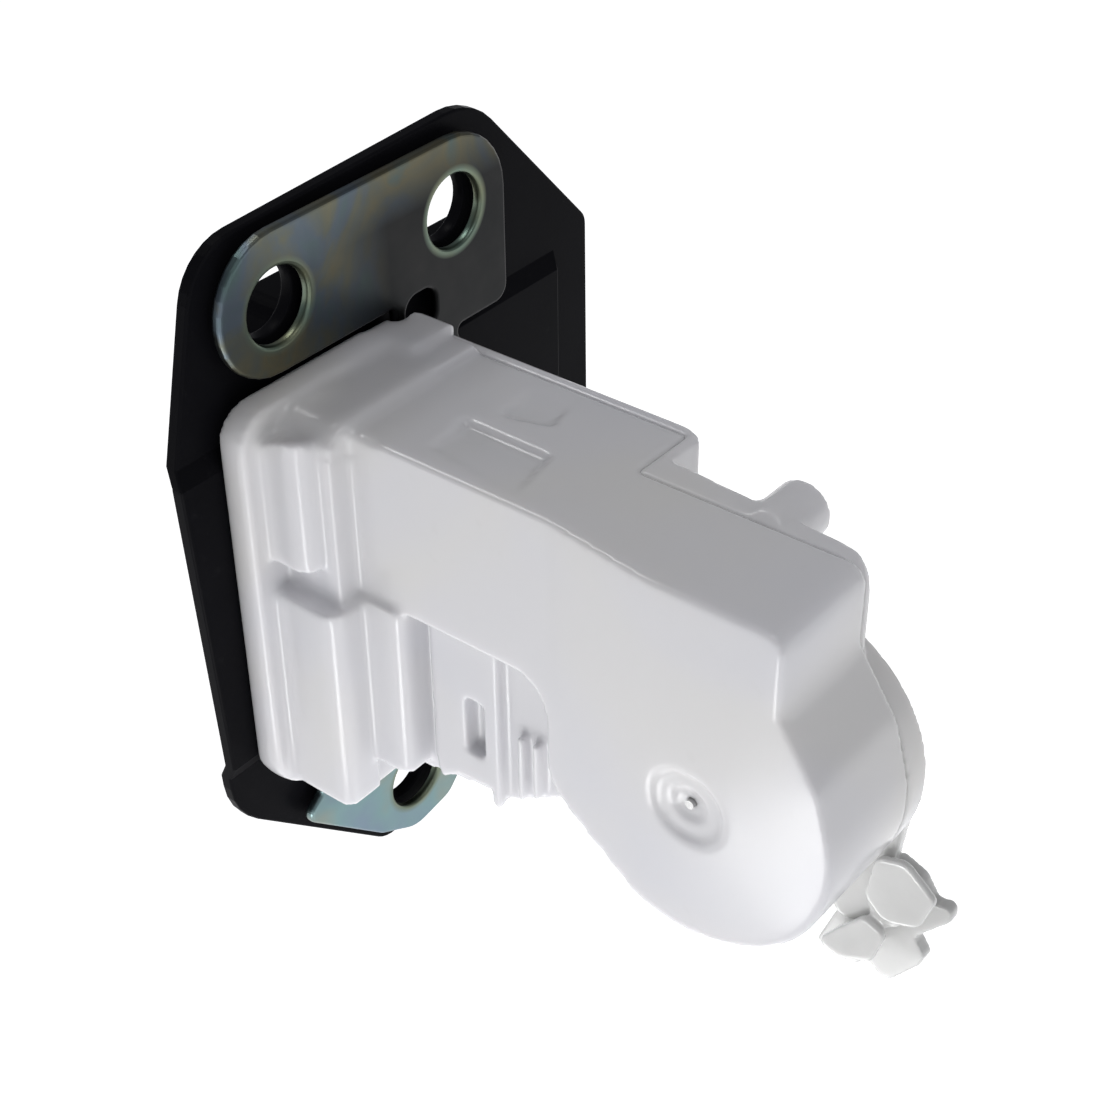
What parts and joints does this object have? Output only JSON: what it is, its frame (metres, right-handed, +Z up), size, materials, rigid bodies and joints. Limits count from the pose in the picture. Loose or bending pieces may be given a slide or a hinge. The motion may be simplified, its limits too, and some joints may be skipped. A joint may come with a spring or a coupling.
{
  "type": "tailgate lock actuator",
  "caption": "Motor-driven tailgate latch: plated bolt-on frame, black cover plate with striker mouth, fork and pawl behind it, and a white gear housing with round drum.",
  "frame": {"origin": "centre of the left upper bolt hole, on the front face of the plated frame", "axes": "+X out of the mounting plate towards the gear housing, +Y across the plate towards the striker mouth, +Z up"},
  "size_m": [0.107, 0.0835, 0.1137],
  "materials": {
    "plated_steel": "zinc plated, passivated, faintly iridescent",
    "black_painted_steel": "satin black paint",
    "latch_steel": "plain hardened steel",
    "liner_plastic": "moulded damping liner",
    "rivet_steel": "bright plated",
    "bush_brass": "turned",
    "spring_wire": "drawn wire",
    "buffer_rubber": "matt moulded rubber",
    "housing_plastic": "white satin moulding",
    "screw_steel": "zinc plated",
    "motor_steel": "drawn steel can",
    "black_plastic": "fine grain",
    "gear_plastic": "natural moulded",
    "lever_plastic": "glossy, slightly translucent moulding",
    "plunger_plastic": "smooth",
    "contact_brass": "tinned at the tips"
  },
  "bodies": {
    "base": {"latch_frame": "plated_steel", "cover_plate": "black_painted_steel", "latch_case": "black_painted_steel", "fork_rivet": "rivet_steel", "fork_bush": "bush_brass", "fork_spring": "spring_wire", "pawl_rivet": "rivet_steel", "pawl_bush": "bush_brass", "pawl_spring": "spring_wire", "striker_buffer": "buffer_rubber", "housing": "housing_plastic", "rear_cover": "housing_plastic", "housing_screws": "screw_steel", "motor_can": "motor_steel", "motor_end_cap": "black_plastic", "worm_bush": "bush_brass", "wheel_axle": "rivet_steel", "lever_pin": "rivet_steel", "lever_spring": "spring_wire", "limit_switch": "black_plastic", "terminal_pins": "contact_brass", "motor_contacts": "contact_brass"},
    "fork": {"fork": "latch_steel", "fork_liner": "liner_plastic"},
    "pawl": {"pawl": "latch_steel", "pawl_peg": "rivet_steel"},
    "lever": {"release_lever": "latch_steel"},
    "wheel": {"worm_wheel": "gear_plastic", "wheel_cam": "gear_plastic", "emergency_lever": "lever_plastic"},
    "rotor": {"motor_shaft": "rivet_steel", "worm": "gear_plastic"},
    "plunger": {"switch_plunger": "plunger_plastic"}
  },
  "joints": [
    {"name": "fork_turn", "type": "hinge", "parent": "base", "child": "fork", "pos_m": [-0.0109, 0.025, -0.062], "axis": [1, 0, 0], "range_deg": [0, 50]},
    {"name": "pawl_turn", "type": "hinge", "parent": "base", "child": "pawl", "pos_m": [-0.0109, 0.012, -0.038], "axis": [1, 0, 0], "range_deg": [-30, 0]},
    {"name": "wheel_turn", "type": "hinge", "parent": "base", "child": "wheel", "pos_m": [0.0655, 0.0091, -0.0429], "axis": [0, 1, 0], "range_deg": [0, 60]},
    {"name": "lever_turn", "type": "hinge", "parent": "base", "child": "lever", "pos_m": [0.042, 0.0048, -0.0525], "axis": [0, 1, 0], "range_deg": [0, 8]},
    {"name": "rotor_spin", "type": "hinge", "parent": "base", "child": "rotor", "pos_m": [0.0655, 0.0091, -0.0242], "axis": [1, 0, 0], "range_deg": [-2100, 180]},
    {"name": "plunger_slide", "type": "slide", "parent": "base", "child": "plunger", "axis": [0, 0, 1], "range_m": [0, 0.001]}
  ],
  "couplings": [
    {"joint": "pawl_turn", "follows": "fork_turn", "ratio": -0.6},
    {"joint": "wheel_turn", "follows": "fork_turn", "ratio": 1.2},
    {"joint": "lever_turn", "follows": "fork_turn", "ratio": 0.16},
    {"joint": "rotor_spin", "follows": "fork_turn", "ratio": -38.4},
    {"joint": "plunger_slide", "follows": "fork_turn", "m_per_rad": 0.0011459}
  ]
}
